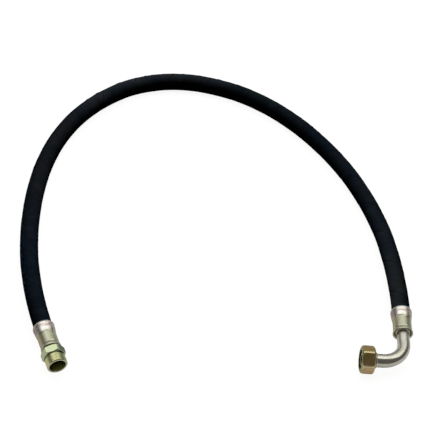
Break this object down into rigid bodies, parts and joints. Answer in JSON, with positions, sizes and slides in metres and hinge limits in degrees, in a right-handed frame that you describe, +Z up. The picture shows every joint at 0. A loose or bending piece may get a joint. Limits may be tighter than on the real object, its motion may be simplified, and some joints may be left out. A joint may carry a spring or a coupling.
{
  "type": "hydraulic hose assembly",
  "caption": "Black wire-braided hydraulic hose with crimped ferrules, a threaded male stud end and a 90 degree swivel nut end.",
  "frame": {"origin": "middle of the two end fittings' box, at table level", "axes": "+Z up from the table; the two fittings are spread along X; the elbow's ferrule runs along -Y and its nut opens along -X"},
  "size_m": [0.5117, 0.5495, 0.0357],
  "materials": {
    "hose_rubber": "black cloth-wrapped rubber, satin",
    "braid_wire": "brass-coated high-tensile wire",
    "liner_rubber": "smooth oil-proof rubber",
    "yellow_zinc": "turned steel, zinc plated and yellow passivated",
    "silver_zinc": "bright zinc plated steel",
    "bronze_zinc": "steel with a bronze-olive passivated zinc plating",
    "braze_filler": "plated-over brazing metal",
    "nitrile": "smooth black"
  },
  "bodies": {
    "hose_assembly": {"hose_cover": "hose_rubber", "wire_braid": "braid_wire", "hose_liner": "liner_rubber", "male_nipple": "yellow_zinc", "male_ferrule": "yellow_zinc", "elbow_tail": "silver_zinc", "elbow_ferrule": "yellow_zinc", "tail_braze": "braze_filler", "elbow_tube": "silver_zinc", "head_braze": "braze_filler", "cone_head": "silver_zinc", "cone_o_ring": "nitrile"},
    "nut": {"swivel_nut": "bronze_zinc"}
  },
  "joints": [
    {"name": "nut_spin", "type": "hinge", "parent": "hose_assembly", "child": "nut", "pos_m": [0.1786, -0.0176, 0.01785], "axis": [-1, 0, 0], "continuous": true}
  ]
}
